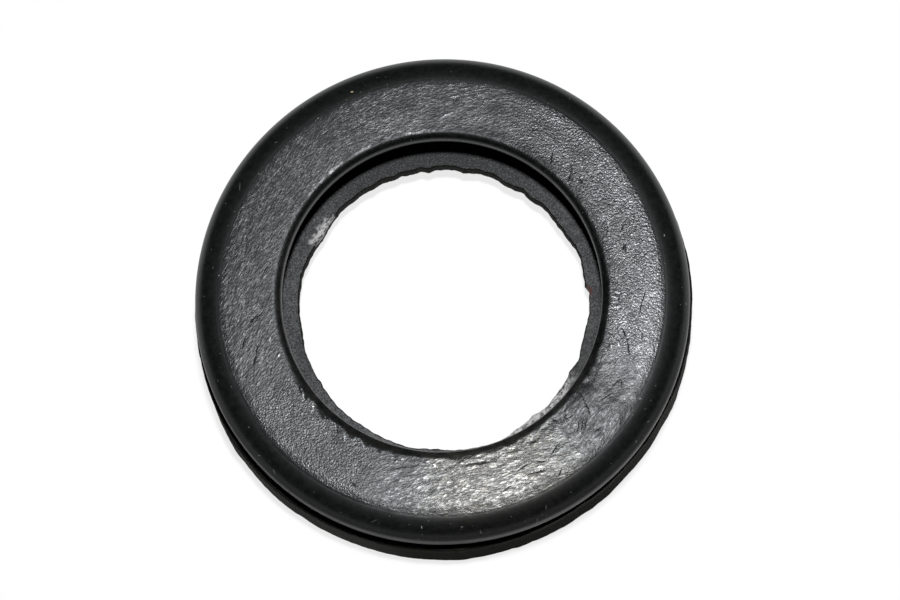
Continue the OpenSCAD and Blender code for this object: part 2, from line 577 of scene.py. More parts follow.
# How dull the sealing face has worn: (angle in degrees, share of its gloss that is lost).
FACE_DULLNESS = (
    (0, 0.08), (20, -0.04), (40, 0.02), (60, 0.10), (90, 0.08), (120, 0.16), (150, 0.34),
    (180, 0.35), (200, 0.30), (225, 0.44), (240, 0.48), (255, 0.18), (275, 0.04), (290, 0.18),
    (305, 0.42), (318, 0.56), (330, 0.12), (345, -0.12), (360, 0.08),
)

# Sectors of the sealing face; BOLD_FOLDS runs on past 360 degrees.
FRAYED_EDGE = Sector(196, 206, 254, 272)
PEBBLED = Sector(192, 206, 236, 246)
BOLD_FOLDS = Sector(232, 256, 346, 374)
GREYER_LIP_ROUND = Sector(118, 160, 318, 350)
DULL_OUTER_HALF = Sector(270, 305, 322, 334)
DULL_SHOULDER_EDGE = Sector(250, 272, 290, 306)
SOFT_SHOULDER_EDGE = Sector(2, 16, 40, 58)
GLOSSY_BORE_EDGE = Sector(240, 264, 296, 322)
WARM_GLOSS = Sector(248, 268, 288, 308)

# Sectors of the lower lip; its torn flakes are pale rubber, partly a painted sheen.
TORN_FLAKES = Sector(262, 285, 314, 326)
FAINT_FLAKES = Sector(312, 322, 342, 356)
PALE_FLAKE = Sector(130, 134, 143, 148)
RED_CHIP = Sector(354.8, 355.8, 358.2, 359.2)

# Sectors of the cut edges, of the painted highlight on the flange's top edge, and of the flash bead under the
# upper lip.
CLEAN_CUT = Sector(240, 256, 300, 330)
ROUGH_CUT = Sector(178, 188, 200, 206)
PAINTED_LIT_EDGE = Sector(262, 290, 325, 340)
NO_BEAD = Sector(120, 170, 330, 350)


@dataclass(frozen=True)
class MouldedFinish:
    """Black moulded rubber: smooth on the rim, leathery and glinting on the sealing face.

    Sizes and depths are millimetres. A pair of strengths is for the plain part of the face, and
    for the part with bold folds. Pits are given by size, heading in degrees and narrowing.
    """

    rim_colour: Colour = (0.0022, 0.0028, 0.0026, 1.0)
    rim_haze: Colour = (0.0066, 0.0072, 0.0068, 1.0)
    face_colour: Colour = (0.010, 0.0108, 0.0115, 1.0)
    grey_and_glint_colour: Colour = (0.045, 0.044, 0.040, 1.0)
    dust_colour: Colour = (0.40, 0.41, 0.38, 1.0)
    grit_colour: Colour = (0.36, 0.30, 0.14, 1.0)
    cool_tint: Colour = (0.94, 0.97, 1.0, 1.0)
    plain_tint: Colour = (1.0, 1.0, 0.98, 1.0)
    warm_tint: Colour = (1.0, 0.975, 0.90, 1.0)
    specular: float = 0.44
    rim_rough: float = 0.37
    face_rough: float = 0.28
    rough_swing: float = 0.012
    streak_size: float = 0.25
    streak_narrowing: float = 0.34
    pebble_size: float = 0.33
    pebble_strength: Pair = (1.2, 0.6)
    run_depth: float = 0.022
    wrinkle_depth: Pair = (0.022, 0.030)
    grain_size: float = 0.10
    grain_depth: float = 0.005
    flat_pits: Triple = (0.27, 2.0, 0.55)
    steep_pits: Triple = (0.26, 52.0, 0.45)
    steep_flow: Pair = (0.9, 1.7)
    round_pit_size: float = 0.23
    pit_depth: Pair = (0.011, 0.013)
    crease_waver: float = 1.2
    waver_size: float = 0.5
    crease_strength: float = 1.5
    ridge_share: float = 0.4
    crease_gloss: float = 0.24
    ridge_gloss: float = 3.6
    blotch_size: float = 1.8
    blotch_range: Pair = (0.3, 0.7)
    blotch_gloss: Pair = (0.78, 1.12)
    sparkle_gloss: Pair = (0.87, 1.6)
    sparkle_power: float = 4.0
    cloud_size: float = 0.7
    cloud_depth: float = 0.009
    patch_size: float = 0.9
    dust_spacing: float = 0.9
    dust_size: float = 0.12
    dust_share: float = 0.5
    dust_strength: float = 0.3

    def make(self) -> bpy.types.Material:
        """Builds the material.

        Returns:
            The material, which reads the masks on the ring's mesh.
        """
        s = Shader("moulded_rubber")
        cloud = s.noise(self.cloud_size, 4.0, 0.65)
        blotch = s.noise(self.blotch_size, 4.0, 0.6)
        slits = s.slits(self.crease_waver, self.waver_size)
        run = self._run(s)
        pits, chance = self._pits(s)
        relief = s.product(self._relief(s, run, pits, slits), s.mask("relief"))
        duller, glossier = self.face_rough + self.rough_swing, self.face_rough - self.rough_swing
        face_rough = s.ramp(blotch, *self.blotch_range, duller, glossier)
        s.principled(
            self.specular,
            Base_Color=self._colour(s, run, blotch, cloud),
            Roughness=s.mix(s.mask("face"), self.rim_rough, face_rough),
            Specular_IOR_Level=self._gloss(s, chance, blotch, slits),
            Specular_Tint=self._tint(s),
            Normal=s.bump(s.total(relief, s.product(cloud, self.cloud_depth))),
        )
        return s.material

    def _run(self, s: Shader) -> Socket:
        """The leathery run of the face: streaks that turn round the ring, or pebbles.

        Args:
            s: the material's shader.

        Returns:
            The socket of its height, from 0 to 1.
        """
        narrow = (self.streak_narrowing, 1.0, 1.0)
        run, *others = [s.noise(self.streak_size, 4.0, 0.72, s.placed(h, narrow)) for h in STREAK_HEADINGS]
        for step, streak in enumerate(others):
            run = s.mix(s.ramp(s.mask("flow"), step, step + 1.0), run, streak)
        return s.mix(s.mask("pebble"), run, s.noise(self.pebble_size, 3.0, 0.63))

    def _pits(self, s: Shader) -> tuple[Socket, Socket]:
        """The pits: long along the streaks and round among the pebbles.

        Args:
            s: the material's shader.

        Returns:
            The sockets of their depth, from 0 to 1, and of each one's chance value.
        """
        flat, steep = (
            s.cells(size, s.placed(heading, (narrowing, 1.0, 1.0)))
            for size, heading, narrowing in (self.flat_pits, self.steep_pits)
        )
        steepness = s.ramp(s.mask("flow"), *self.steep_flow)
        long_pits = [s.mix(steepness, a, b) for a, b in zip(flat, steep)]
        round_pits = s.cells(self.round_pit_size)
        depth, chance = (s.mix(s.mask("pebble"), a, b) for a, b in zip(long_pits, round_pits))
        return depth, chance

    def _relief(self, s: Shader, run: Socket, pits: Socket, slits: Socket) -> Socket:
        """The face's texture.

        Args:
            s: the material's shader.
            run: the leathery run.
            pits: the pits.
            slits: depth of the creases, below 0 on a ridge.

        Returns:
            The socket of its height in millimetres.
        """
        bold = s.mask("bold")
        rougher = s.math("MULTIPLY_ADD", s.mask("pebble"), s.mix(bold, *self.pebble_strength), 1.0)
        wrinkles = s.math("ABSOLUTE", s.math("SUBTRACT", run, 0.5))
        softened = s.math("MAXIMUM", slits, s.product(slits, self.ridge_share))
        return s.total(
            s.product(run, rougher, self.run_depth),
            s.product(wrinkles, s.mix(bold, *self.wrinkle_depth)),
            s.product(s.noise(self.grain_size, 1.0, 0.6), self.grain_depth),
            s.product(pits, rougher, s.mix(bold, *self.pit_depth)),
            s.product(softened, -self.crease_strength),
        )

    def _colour(self, s: Shader, run: Socket, blotch: Socket, cloud: Socket) -> Socket:
        """Black rubber under haze, fine dust and single specks, with a painted glint: the face is painted
        lighter grey on its crests, most on its lower right, where the highlight falls.

        Args:
            s: the material's shader.
            run: the leathery run.
            blotch: the coarse noise of the face.
            cloud: the coarse noise of the rim.

        Returns:
            The socket of the colour.
        """
        face = s.mask("face")
        rim = s.mix_colour(s.ramp(cloud, 0.35, 0.65), self.rim_colour, self.rim_haze)
        colour = s.mix_colour(face, rim, self.face_colour)
        off_face = s.math("SUBTRACT", 0.5, s.product(face, 0.5))
        crests = s.math("MAXIMUM", s.ramp(run, 0.42, 0.68), off_face)
        glint = s.product(crests, s.ramp(blotch, *self.blotch_range))
        # Painted glint: a lighter grey on the crests of the face, most where the highlight falls.
        colour = s.mix_colour(s.product(s.mask("grey_and_glint"), glint), colour, self.grey_and_glint_colour)
        flecks = s.flecks(self.dust_spacing, self.dust_size, self.dust_share)
        dust = s.product(flecks, s.math("SUBTRACT", 1.0, face), self.dust_strength)
        colour = s.mix_colour(dust, colour, self.dust_colour)
        speck = s.product(s.ramp(s.length(s.vector_mask("speck")), 1.15, 0.7), s.mask("speck_light"))
        speck_colour = s.mix_colour(s.mask("speck_warm"), self.dust_colour, self.grit_colour)
        return s.mix_colour(speck, colour, speck_colour)

    def _gloss(self, s: Shader, chance: Socket, blotch: Socket, slits: Socket) -> Socket:
        """The specular level: uneven on the face, low in creases and where it is worn dull.

        Args:
            s: the material's shader.
            chance: each pit's chance value; a few of them sparkle.
            blotch: the coarse noise of the face.
            slits: depth of the creases, below 0 on a ridge.

        Returns:
            The socket of the specular level.
        """
        sparkle = s.ramp(s.math("POWER", chance, self.sparkle_power), 0.0, 1.0, *self.sparkle_gloss)
        uneven = s.product(s.ramp(blotch, *self.blotch_range, *self.blotch_gloss), sparkle)
        return s.product(
            s.math("SUBTRACT", 1.0, s.mask("dull")),
            s.mix(s.mask("face"), self.specular, s.product(uneven, self.specular)),
            s.ramp(slits, 0.002, 0.011, 1.0, self.crease_gloss),
            s.ramp(slits, -0.009, -0.002, self.ridge_gloss, 1.0),
        )

    def _tint(self, s: Shader) -> Socket:
        """The tint of the gloss: cool, and patchily warm where the warm mask shows.

        Args:
            s: the material's shader.

        Returns:
            The socket of the tint.
        """
        patches = s.product(s.ramp(s.noise(self.patch_size, 3.0, 0.6), 0.48, 0.66), s.mask("warm"))
        tint = s.mix_colour(s.mask("warm"), self.cool_tint, self.plain_tint)
        return s.mix_colour(patches, tint, self.warm_tint)


# How grey the lower lip is at each angle, most on its lower side and least at the back: (angle in degrees, 0 to
# 1).
LIP_GREYNESS = (
    (0, 0.33), (30, 0.36), (55, 0.18), (75, 0.05), (115, 0.10), (135, 0.35), (170, 0.43), (195, 0.30),
    (222, 0.60), (245, 0.95), (295, 0.95), (318, 0.02), (335, 0.04), (345, 0.24), (360, 0.33),
)


@dataclass(frozen=True)
class LipFinish:
    """The lower lip: dull grey rubber, with bright flakes where it was torn, whose brightness is partly a
    painted sheen.
    """

    colour: Colour = (0.021, 0.022, 0.023, 1.0)
    grey_colour: Colour = (0.115, 0.117, 0.122, 1.0)
    flake_and_sheen_colour: Colour = (0.42, 0.42, 0.42, 1.0)
    chip_colour: Colour = (0.075, 0.030, 0.026, 1.0)
    specular: float = 0.12
    rough: float = 0.6
    flake_rough: float = 0.30
    grain_size: float = 0.22
    grain_contrast: float = 3.4
    grain_depth: Pair = (0.022, 0.04)
    blotch_size: float = 1.1
    blotch_greyness: Pair = (0.35, 1.4)
    flake_size: float = 0.34
    flake_heading: float = 40.0
    flake_narrowing: float = 0.6
    flake_depth: float = 0.06

    def make(self) -> bpy.types.Material:
        """Builds the material.

        Returns:
            The material, which reads the masks on the ring's mesh.
        """
        s = Shader("lip_rubber")
        torn = s.mask("torn")
        grain = s.noise(self.grain_size, 3.0, 0.6)
        blotch = s.noise(self.blotch_size, 4.0, 0.65)
        flake_places = s.placed(self.flake_heading, (self.flake_narrowing, 1.0, 1.0))
        flakes = s.noise(self.flake_size, 3.0, 0.7, flake_places)
        greyness = s.product(s.mask("greyness"), s.ramp(blotch, 0.33, 0.67, *self.blotch_greyness))
        speckled = s.math("MULTIPLY_ADD", s.math("SUBTRACT", grain, 0.5), self.grain_contrast, greyness)
        colour = s.mix_colour(speckled, self.colour, self.grey_colour)
        # Pale flakes where the lip was torn, partly a painted sheen.
        colour = s.mix_colour(s.product(torn, s.ramp(flakes, 0.40, 0.56)), colour, self.flake_and_sheen_colour)
        colour = s.mix_colour(s.mask("chip"), colour, self.chip_colour)
        grain_relief = s.product(grain, s.mix(torn, *self.grain_depth))
        relief = s.total(grain_relief, s.product(flakes, torn, self.flake_depth))
        s.principled(
            Base_Color=colour,
            Roughness=s.mix(torn, self.rough, self.flake_rough),
            Specular_IOR_Level=self.specular,
            Normal=s.bump(relief),
        )
        return s.material


@dataclass(frozen=True)
class CutFinish:
    """Raw rubber where the bore was torn and the flange was trimmed: dull, dark and warm, with a painted
    highlight along the flange's top edge.
    """

    colour: Colour = (0.0068, 0.0064, 0.0050, 1.0)
    scuffed_and_lit_colour: Colour = (0.022, 0.021, 0.018, 1.0)
    lit_edge_colour: Colour = (0.085, 0.082, 0.072, 1.0)
    specular: float = 0.08
    rough: float = 0.8
    saw_size: float = 0.35
    saw_depth: float = 0.05

    def make(self) -> bpy.types.Material:
        """Builds the material, plain but for its grain, its scuffs and the painted highlight on the flange's
        top edge.

        Returns:
            The material, which reads the mask of scuffs and painted highlight on the ring's mesh.
        """
        s = Shader("cut_rubber")
        saw = s.noise(self.saw_size, 3.0, 0.6, s.placed(0.0, (1.0, 1.0, 0.4)))
        scuff_and_lit_edge = s.product(s.ramp(saw, 0.5, 0.75), s.mask("scuff_and_lit_edge"))
        colour = s.mix_colour(scuff_and_lit_edge, self.colour, self.scuffed_and_lit_colour)
        # Painted highlight: the flange's top edge turns light grey.
        colour = s.mix_colour(s.ramp(s.mask("scuff_and_lit_edge"), 1.6, 2.0), colour, self.lit_edge_colour)
        s.principled(
            self.specular,
            Base_Color=colour,
            Roughness=self.rough,
            Specular_IOR_Level=s.product(s.mask("scuff_and_lit_edge"), self.specular),
            Normal=s.bump(s.product(saw, self.saw_depth)),
        )
        return s.material


@dataclass(frozen=True)
class FloorFinish:
    """A white table: it looks white to the camera and still takes the ring's shadow."""

    albedo: float = 0.93
    glow_share: float = 0.8

    def make(self) -> bpy.types.Material:
        """Builds the material.

        Returns:
            A diffuse white that camera, glossy and transmission rays see mostly as plain white.
        """
        s = Shader("white_table")
        path = s.node("ShaderNodeLightPath")
        seen = s.math("MAXIMUM", path.outputs["Is Camera Ray"], path.outputs["Is Glossy Ray"])
        seen = s.math("MAXIMUM", seen, path.outputs["Is Transmission Ray"])
        table = s.node("ShaderNodeBsdfDiffuse")
        table.inputs["Color"].default_value = (self.albedo, self.albedo, self.albedo, 1.0)
        glow = s.node("ShaderNodeEmission")
        glow.inputs["Color"].default_value = (1.0, 1.0, 1.0, 1.0)
        glow.inputs["Strength"].default_value = 1.0
        both = s.node("ShaderNodeMixShader")
        s.feed(both.inputs[0], s.product(seen, self.glow_share))
        s.feed(both.inputs[1], table.outputs[0])
        s.feed(both.inputs[2], glow.outputs[0])
        s.feed(s.output.inputs["Surface"], both.outputs[0])
        return s.material


# ---------------------------------------------------------------------------------------------
# The ring
# ---------------------------------------------------------------------------------------------


class Stretch(Enum):
    """The stretches of the ring's section, in the order in which it is drawn."""

    FACE = 0
    SHOULDER = 1
    RIM_UNDER = 2
    PARTING = 3
    FLANGE_TOP = 4
    FLANGE_WALL = 5
    FOOT = 6
    RECESS = 7
    TORN_WALL = 8
    LIP_TOP = 9
    GROOVE = 10
    LIP_UNDER = 11
    BORE = 12
    LIP_ROUND = 13


@dataclass(frozen=True)
class CutEdge:
    """An edge that was torn or trimmed by hand: straight snips between uneven corners."""

    radius: float
    tooth: float
    corners: tuple[Point, ...]

    def reach(self, angle_deg: np.ndarray) -> np.ndarray:
        """How far the edge lies from the axis.

        Args:
            angle_deg: angles in degrees, from 0 to 360.

        Returns:
            Radii in millimetres.
        """
        angles, steps = zip(*self.corners)
        a = np.radians(angle_deg)
        teeth = 0.6 * np.sin(61 * a) * np.sin(17 * a + math.radians(40))
        teeth += 0.4 * np.sin(23 * a + math.radians(110))
        return self.radius + np.interp(angle_deg, angles, steps) + self.tooth * teeth


# How far the lower lip is torn back at each corner: (angle in degrees, millimetres).
BORE_CORNERS = (
    (0, -0.25), (4, -0.1), (12, 0.2), (20, -0.1), (28, -0.28), (38, 0), (43, -0.4), (47, -0.05),
    (51, -0.32), (56, -0.33), (60, 0), (68, 0.08), (73, -0.22), (77, 0.06), (84, 0.07),
    (87, -0.14), (90, 0.08), (93, -0.1), (98, 0.08), (101, -0.04), (106, 0.1), (110, -0.04),
    (115, 0.14), (121, 0.05), (126, 0.13), (134, -0.05), (140, -0.35), (143, -0.1),
    (150, 0.08), (158, 0.2), (166, 0.15), (172, -0.02), (181, -0.1), (190, 0.04), (199, 0.02),
    (203, -0.1), (210, 0.12), (224, 0.12), (230, 0.06), (238, 0.14), (244, 0.27), (250, 0.22),
    (254, 0.06), (261, 0.12), (267, 0.26), (275, 0.36), (283, 0.38), (286, 0.3), (289, 0.1), (295, -0.1),
    (299, -0.25), (303, -0.05), (307, 0.1), (311, -0.14), (318, -0.08), (323, -0.25),
    (328, 0.04), (335, -0.18), (344, -0.12), (349, 0.2), (354, 0.12), (357, 0.3), (360, -0.25),
)

# How far the trimmed flange stands proud at each corner: (angle in degrees, millimetres).
FLANGE_CORNERS = (
    (0, 0.02), (24, -0.04), (50, 0.05), (78, -0.03), (104, 0.03), (131, -0.05), (158, 0.04),
    (172, -0.06), (186, -0.06), (194, 0.08), (204, 0.26), (207, 0.16), (221, 0.18), (228, 0.08),
    (240, 0), (266, 0.04), (271, -0.1), (283, -0.28), (290, -0.29), (295, -0.43), (300, -0.33),
    (310, -0.48), (317, -0.34), (323, -0.4), (328, -0.2), (336, -0.24), (350, -0.08), (360, 0.02),
)


@dataclass(frozen=True)
class RingSection:
    """The moulded section: radii and heights in millimetres, the same as the CAD part's."""

    rim_r: float = 31.0
    shoulder_w: float = 4.1
    crown_r: float = 5.5
    crown_turn: float = 30.0
    rim_under_r: float = 1.0
    bore_r: float = 20.0
    lip_round_r: float = 1.0
    upper_lip_z: float = 11.6
    total_h: float = 13.4
    groove_r: float = 24.5
    groove_fillet_r: float = 0.8
    lower_lip_z: float = 5.7
    recess_h: float = 3.6
    torn_r: float = 18.25
    lip_flat_w: float = 1.2
    bevel_w: float = 3.0
    flange_r: float = 31.4
    flange_h: float = 6.5
    parting_z: float = 7.8
    core_r: float = 29.8
    edge_r: float = 0.12
    bead: float = 0.04
    fine_lip_w: float = 0.6

    @staticmethod
    def _line(start: Point, end: Point, steps: int) -> list[Point]:
        """Evenly spaced points from start towards end, without the end."""
        (r0, z0), (r1, z1) = start, end
        return [(r0 + (r1 - r0) * i / steps, z0 + (z1 - z0) * i / steps) for i in range(steps)]

    @staticmethod
    def _arc(centre: Point, r: float, start: float, end: float, steps: int) -> list[Point]:
        """Points along an arc between two angles in degrees, without the last."""
        angles = [math.radians(start + (end - start) * i / steps) for i in range(steps)]
        return [(centre[0] + r * math.cos(a), centre[1] + r * math.sin(a)) for a in angles]

    def outline(self) -> list[tuple[float, float, Stretch]]:
        """Draws the closed section, clockwise from the face's inner edge.

        Returns:
            Radius, height and stretch of each point.
        """
        e, bead = self.edge_r, self.bead
        face_in, face_out = self.bore_r + self.lip_round_r, self.rim_r - self.shoulder_w
        turn = self.crown_turn
        s_turn, c_turn = math.sin(math.radians(turn)), math.cos(math.radians(turn))
        edge_r = (self.shoulder_w - self.crown_r * s_turn) / (1 - s_turn)
        edge_z = self.total_h - self.crown_r * (1 - c_turn) - edge_r * c_turn
        rim_under = self.rim_r - self.rim_under_r
        flat_r = self.torn_r + self.lip_flat_w
        fine_r = self.bore_r + self.fine_lip_w
        fillet_r, f = self.groove_r - self.groove_fillet_r, self.groove_fillet_r
        top, lip, under = self.total_h, self.lower_lip_z, self.upper_lip_z
        line, arc = self._line, self._arc
        drawn = {
            Stretch.FACE: line((face_in, top), (face_out, top), 40),
            Stretch.SHOULDER: arc((face_out, top - self.crown_r), self.crown_r, 90, 90 - turn, 10)
            + arc((self.rim_r - edge_r, edge_z), edge_r, 90 - turn, 0, 12)
            + line((self.rim_r, edge_z), (self.rim_r, self.parting_z + self.rim_under_r), 1),
            Stretch.RIM_UNDER: arc((rim_under, self.parting_z + self.rim_under_r), self.rim_under_r, 0, -90, 6),
            Stretch.PARTING: line((rim_under, self.parting_z), (self.core_r, self.parting_z), 1)
            + line((self.core_r, self.parting_z), (self.core_r, self.flange_h), 2),
            Stretch.FLANGE_TOP: line((self.core_r, self.flange_h), (self.flange_r - e, self.flange_h), 4),
            Stretch.FLANGE_WALL: line((self.flange_r - e, self.flange_h), (self.flange_r, self.flange_h - e), 1)
            + line((self.flange_r, self.flange_h - e), (self.flange_r, 0.0), 11),
            Stretch.FOOT: line((self.flange_r, 0.0), (flat_r + self.bevel_w, 0.0), 3),
            Stretch.RECESS: line((flat_r + self.bevel_w, 0.0), (flat_r, self.recess_h), 2)
            + line((flat_r, self.recess_h), (self.torn_r, self.recess_h), 2),
            Stretch.TORN_WALL: line((self.torn_r, self.recess_h), (self.torn_r, lip - e), 7)
            + line((self.torn_r, lip - e), (self.torn_r + e, lip), 1),
            Stretch.LIP_TOP: line((self.torn_r + e, lip), (fine_r, lip), 13)
            + line((fine_r, lip), (fillet_r, lip), 2),
            Stretch.GROOVE: arc((fillet_r, lip + f), f, -90, 0, 2) + arc((fillet_r, under - f), f, 0, 90, 2),
            Stretch.LIP_UNDER: line((fillet_r, under), (self.bore_r + e, under), 2),
            Stretch.BORE: line((self.bore_r + e, under), (self.bore_r - bead, under + bead / 2), 1)
            + line((self.bore_r - bead, under + bead / 2), (self.bore_r - bead, under + bead), 1)
            + line((self.bore_r - bead, under + bead), (self.bore_r, under + 1.4 * bead), 1)
            + line((self.bore_r, under + 1.4 * bead), (self.bore_r, top - self.lip_round_r), 2),
            Stretch.LIP_ROUND: arc((face_in, top - self.lip_round_r), self.lip_round_r, 180, 90, 8),
        }
        return [(r, z, stretch) for stretch, points in drawn.items() for r, z in points]


@dataclass(frozen=True)
class Points:
    """Where the plain ring's vertices lie, in millimetres and degrees, and on which stretch."""

    co: np.ndarray
    r: np.ndarray
    z: np.ndarray
    angle: np.ndarray
    stretch: np.ndarray


@dataclass
class Gasket:
    """The whole ring: its section spun round, then sculpted and dressed."""

    section: RingSection = field(default_factory=RingSection)
    torn_bore: CutEdge = CutEdge(18.25, 0.07, BORE_CORNERS)
    flange: CutEdge = CutEdge(31.4, 0.03, FLANGE_CORNERS)
    steps_round: int = 716
    seed: int = 7
    merge_gap: float = 0.002
    crown_middle_r: float = 23.6
    crown_bend_r: float = 164.0
    crown_overlap: float = 0.6
    mesh_step: float = 0.14
    deepest: float = 0.4
    torn_teeth: float = 0.09
    flange_teeth: float = 0.06
    fibre_heading: float = 108.0

    def build(self) -> bpy.types.Object:
        """Models the ring.

        Returns:
            The finished, dressed mesh object.
        """
        outline = self.section.outline()
        ring = self._spin([(r, z) for r, z, _ in outline])
        self._sculpt(ring, outline)
        for finish in (MouldedFinish(), LipFinish(), CutFinish()):
            ring.data.materials.append(finish.make())
        return ring

    def _spin(self, points: list[Point]) -> bpy.types.Object:
        """Spins the section once round the axis.

        Args:
            points: radius and height of each point of the closed section.

        Returns:
            The plain ring, closed and facing outwards.
        """
        deselect_all()
        bpy.ops.mesh.primitive_circle_add(vertices=len(points), radius=MM)
        ring = bpy.context.object
        ring.name = ring.data.name = "rubber_ring"
        for vertex, (r, z) in zip(ring.data.vertices, points):
            vertex.co = (r * MM, 0.0, z * MM)
        bpy.ops.object.modifier_add(type="SCREW")
        screw = ring.modifiers[-1]
        screw.steps = screw.render_steps = self.steps_round
        screw.use_merge_vertices = True
        screw.merge_threshold = self.merge_gap * MM
        bpy.ops.object.modifier_apply(modifier=screw.name)
        bpy.ops.object.mode_set(mode="EDIT")
        bpy.ops.mesh.select_all(action="SELECT")
        bpy.ops.mesh.remove_doubles(threshold=self.merge_gap * MM)
        bpy.ops.mesh.normals_make_consistent(inside=False)
        bpy.ops.object.mode_set(mode="OBJECT")
        return ring

    def _points(self, mesh: bpy.types.Mesh, outline: list[tuple[float, float, Stretch]]) -> Points:
        """Reads the plain ring's vertices.

        Args:
            mesh: the plain ring's mesh.
            outline: the section that it was spun from.

        Returns:
            The places, with the stretch of the nearest point of the outline.
        """
        co = np.empty(len(mesh.vertices) * 3)
        mesh.vertices.foreach_get("co", co)
        co = co.reshape(-1, 3) / MM
        r, z = np.hypot(co[:, 0], co[:, 1]), co[:, 2]
        drawn_r, drawn_z = (np.array(values) for values in list(zip(*outline))[:2])
        numbers = np.array([stretch.value for _, _, stretch in outline])
        nearest = np.empty(len(r), dtype=int)
        for part in np.array_split(np.arange(len(r)), 40):
            gap = (r[part, None] - drawn_r) ** 2 + (z[part, None] - drawn_z) ** 2
            nearest[part] = gap.argmin(axis=1)
        angle = np.degrees(np.arctan2(co[:, 1], co[:, 0])) % 360.0
        return Points(co, r, z, angle, numbers[nearest])

    def _sculpt(self, ring: bpy.types.Object, outline: list[tuple[float, float, Stretch]]) -> None:
        """Moves the plain ring's points into the worn, torn and trimmed shape, and masks it.

        Args:
            ring: the plain ring.
            outline: the section that it was spun from.
        """
        mesh = ring.data
        at = self._points(mesh, outline)
        masks = self._masks(at)
        scale = self._cut_edges(at) / at.r
        z = at.z - self._crown(at.r) * (at.z > self.section.parting_z + self.section.rim_under_r + 0.5)
        z -= self._face_relief(at, masks)
        co = np.stack([at.co[:, 0] * scale, at.co[:, 1] * scale, z], axis=1)
        co = np.clip(co, *(np.array(corner) / MM for corner in CAD_BOX))
        mesh.vertices.foreach_set("co", (co * MM).ravel())
        creases, masks["crease_depth"] = self._nearest_crease(co[:, 0], co[:, 1])
        specks, masks["speck_light"], masks["speck_warm"] = self._nearest_speck(co)
        for name, values in masks.items():
            layer = mesh.attributes.new(name, "FLOAT", "POINT")
            layer.data.foreach_set("value", values.astype(np.float32))
        for name, vectors in (("crease", creases), ("speck", specks)):
            layer = mesh.attributes.new(name, "FLOAT_VECTOR", "POINT")
            layer.data.foreach_set("vector", vectors.astype(np.float32).ravel())
        self._share_finishes(mesh, at.stretch, masks)
        mesh.update()

    def _nearest_crease(self, x: np.ndarray, y: np.ndarray) -> tuple[np.ndarray, np.ndarray]:
        """Each vertex's place on the crease nearest to it.

        Args:
            x: places across, in millimetres.
            y: places away, in millimetres.

        Returns:
            Vectors (along and across, as shares of the crease's size) and the depths in millimetres.
        """
        nearest = np.full(len(x), np.inf)
        places, depths = np.zeros((len(x), 3)), np.zeros(len(x))
        for crease in CREASES:
            along, across = crease.run(x, y)
            gap = np.hypot(np.maximum(np.abs(along) - crease.length() / 2, 0.0), across)
            here = gap < nearest
            nearest[here] = gap[here]
            places[here, 0] = along[here] / (0.55 * crease.length())
            places[here, 1] = across[here] / crease.width
            depths[here] = crease.depth * smoothstep(0.65, 0.4, gap[here])
        return places, depths

    def _nearest_speck(self, co: np.ndarray) -> tuple[np.ndarray, np.ndarray, np.ndarray]:
        """Each vertex's place on the speck of dust nearest to it.

        Args:
            co: places in millimetres.

        Returns:
            Vectors (along and across, as shares of the speck's size), how light it is, and how yellow.
        """
        nearest = np.full(len(co), np.inf)
        places, light, warm = np.zeros((len(co), 3)), np.zeros(len(co)), np.zeros(len(co))
        on_top = co[:, 2] > self.section.upper_lip_z - 2.0
        for speck in SPECKS:
            along, across = speck.run(co[:, 0], co[:, 1])
            gap = np.hypot(along, across)
            here = (gap < nearest) & on_top
            nearest[here] = gap[here]
            places[here, 0] = along[here] / (0.5 * (speck.length() + speck.width))
            places[here, 1] = across[here] / (0.5 * speck.width)
            light[here], warm[here] = speck.light, speck.warm
        return places, light, warm

    def _share_finishes(
        self, mesh: bpy.types.Mesh, stretch: np.ndarray, masks: dict[str, np.ndarray]
    ) -> None:
        """Gives each face the finish of its stretch, and smooths all faces.

        Args:
            mesh: the ring's mesh, all of four-sided faces.
            stretch: number of each vertex's stretch.
            masks: the masks at each vertex.
        """
        corners = np.empty(len(mesh.loops), dtype=int)
        mesh.loops.foreach_get("vertex_index", corners)
        around = stretch[corners.reshape(-1, 4)]
        low, high = around.min(axis=1), around.max(axis=1)
        of_face = np.where(high - low > len(Stretch) // 2, high, low)
        finish = np.zeros(len(of_face), dtype=int)
        finish[of_face == Stretch.LIP_TOP.value] = 1
        finish[np.isin(of_face, (Stretch.FLANGE_WALL.value, Stretch.TORN_WALL.value))] = 2
        frayed = np.maximum(masks["torn"], masks["chip"])[corners.reshape(-1, 4)].max(axis=1) > 0.3
        finish[(of_face == Stretch.TORN_WALL.value) & frayed] = 1
        mesh.polygons.foreach_set("material_index", finish)
        mesh.polygons.foreach_set("use_smooth", np.ones(len(of_face), dtype=bool))

    def _masks(self, at: Points) -> dict[str, np.ndarray]:
        """Where each texture shows.

        Args:
            at: the plain ring's vertices.

        Returns:
            One value at each vertex for each mask.
        """
        s = self.section
        fray = layered_noise(at.co, 0.7, 3, self.seed + 20)
        patches = 0.5 + 0.5 * layered_noise(at.co, 5.0, 3, self.seed + 30)
        on_top = at.z > s.total_h - 1.0
        inner, outer = self._face_edges(at, fray)
        masks = self._texture_masks(at)
        face = np.where(on_top, inner * outer, 0.0)
        under_fray = smoothstep(s.bore_r, s.bore_r + 0.5, at.r)
        # Painted highlight with some grey tone: the face is painted lighter in random patches, most on the bold
        # lower right, where the highlight falls.
        grey_and_glint = face * np.clip(masks["bold"] + 0.2, 0.0, 1.0) * (0.4 + 1.2 * patches)
